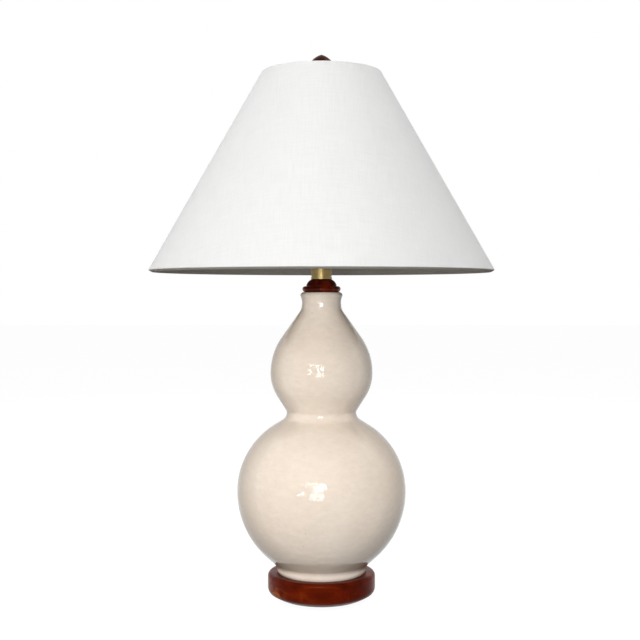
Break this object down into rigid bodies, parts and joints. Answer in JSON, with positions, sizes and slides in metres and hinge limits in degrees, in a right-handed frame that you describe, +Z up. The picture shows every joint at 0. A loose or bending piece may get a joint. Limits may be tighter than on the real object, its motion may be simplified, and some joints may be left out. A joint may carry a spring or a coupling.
{
  "type": "table lamp",
  "caption": "Table lamp with a glazed double gourd body on a turned wooden base, a tapered linen shade on a harp, a turn switch and a wooden finial.",
  "frame": {"origin": "on the ground, at the centre of the felt's underside and on the lamp's axis", "axes": "+Z up along the lamp's axis; +X towards the switch knob; +Y the back, where the cord inlet is"},
  "size_m": [0.4244, 0.4246, 0.6747],
  "materials": {
    "felt": "matt wool felt",
    "lacquered_wood": "dark red-brown, clear gloss lacquer",
    "black_moulding": "moulded phenolic, satin",
    "zinc_steel": "zinc plated",
    "soft_ring": "matt",
    "ivory_glaze": "gloss glaze with a soft waviness",
    "brass": "satin, lacquered",
    "plain_brass": "bare stamped brass",
    "liner_board": "matt",
    "solder": "solder, dull",
    "black_glass": "gloss, opaque",
    "bulb_aluminium": "bright",
    "frosted_glass": "frosted inside",
    "linen": "fine plain-weave linen, matt",
    "shade_sheet": "matt translucent sheet",
    "spider_brass": "brass plated wire"
  },
  "bodies": {
    "stand": {"base_felt": "felt", "wood_base": "lacquered_wood", "cord_grommet": "black_moulding", "rod_washer": "zinc_steel", "lock_washer": "zinc_steel", "rod_nut": "zinc_steel", "threaded_rod": "zinc_steel", "foot_cushion": "soft_ring", "gourd_body": "ivory_glaze", "neck_cap": "lacquered_wood", "brass_neck": "brass", "harp_saddle": "brass", "socket_cap": "brass", "set_screw": "zinc_steel", "socket_shell": "brass", "shell_liner": "liner_board", "socket_insert": "black_moulding", "terminal_screws": "brass", "screw_shell": "plain_brass", "centre_contact": "plain_brass"},
    "switch": {"switch_stem": "brass", "switch_knob": "black_moulding"},
    "bulb": {"bulb_contact": "solder", "bulb_insulator": "black_glass", "bulb_cap": "bulb_aluminium", "bulb_glass": "frosted_glass"},
    "harp": {"harp_loop": "brass", "harp_stud": "brass"},
    "front_sleeve": {"sleeve_front": "brass"},
    "back_sleeve": {"sleeve_back": "brass"},
    "shade": {"shade_fabric": "linen", "shade_backing": "shade_sheet", "seam_lap": "linen", "bottom_hem": "linen", "bottom_ring": "zinc_steel", "spider_fitter": "spider_brass", "top_hem": "linen"},
    "finial": {"finial_insert": "brass", "finial_knob": "lacquered_wood"}
  },
  "joints": [
    {"name": "switch_turn", "type": "hinge", "parent": "stand", "child": "switch", "pos_m": [0, 0, 0.4371], "axis": [1, 0, 0], "continuous": true},
    {"name": "bulb_lift", "type": "slide", "parent": "stand", "child": "bulb", "axis": [0, 0, 1], "range_m": [0, 0.024]},
    {"name": "harp_lift", "type": "slide", "parent": "stand", "child": "harp", "axis": [0, 0, 1], "range_m": [0, 0.03]},
    {"name": "front_sleeve_lift", "type": "slide", "parent": "harp", "child": "front_sleeve", "axis": [0, 0, 1], "range_m": [0, 0.012]},
    {"name": "back_sleeve_lift", "type": "slide", "parent": "harp", "child": "back_sleeve", "axis": [0, 0, 1], "range_m": [0, 0.012]},
    {"name": "shade_turn", "type": "hinge", "parent": "harp", "child": "shade", "pos_m": [0, 0, 0.6372], "axis": [0, 0, 1], "continuous": true},
    {"name": "finial_turn", "type": "hinge", "parent": "harp", "child": "finial", "pos_m": [0, 0, 0.645], "axis": [0, 0, 1], "continuous": true}
  ]
}
